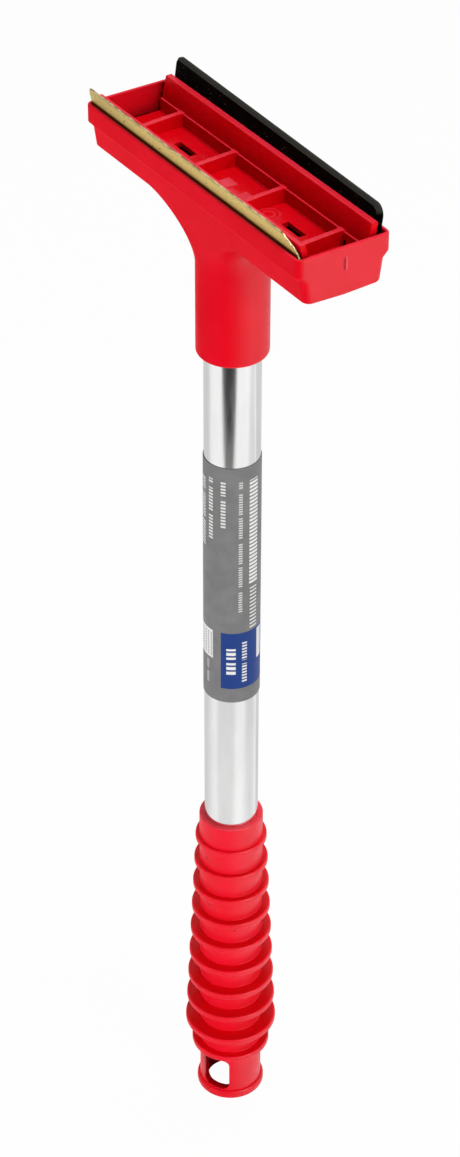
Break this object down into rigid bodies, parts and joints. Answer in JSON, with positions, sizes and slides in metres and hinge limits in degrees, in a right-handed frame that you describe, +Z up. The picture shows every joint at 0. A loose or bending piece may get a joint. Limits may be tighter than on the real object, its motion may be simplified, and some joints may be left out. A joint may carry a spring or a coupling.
{
  "type": "ice scraper",
  "caption": "Hand ice scraper: T-shaped moulded head with a brass scraping blade and a rubber wiping strip, aluminium tube handle and ribbed hollow grip with a hanging window.",
  "frame": {"origin": "middle of the grip's open end face, at the foot of the handle's axis", "axes": "+Z up the handle to the head, +X along the blade towards its tapered corner, -Y to the blade's side and +Y to the rubber strip's side"},
  "size_m": [0.1028, 0.0286, 0.3386],
  "materials": {
    "red_moulding": "injection moulded, soft gloss with faint texture",
    "red_grip": "injection moulded, soft gloss",
    "brass_plate": "rolled sheet, dull, with small dark pits",
    "black_rubber": "cut sheet rubber, satin",
    "polished_tube": "bright drawn tube",
    "grey_print": "printed film, satin"
  },
  "bodies": {
    "root": {"head_body": "red_moulding", "blade_carrier": "red_moulding", "brass_blade": "brass_plate", "rubber_strip": "black_rubber", "handle_tube": "polished_tube", "printed_sleeve": "grey_print", "ribbed_grip": "red_grip"}
  },
  "joints": []
}
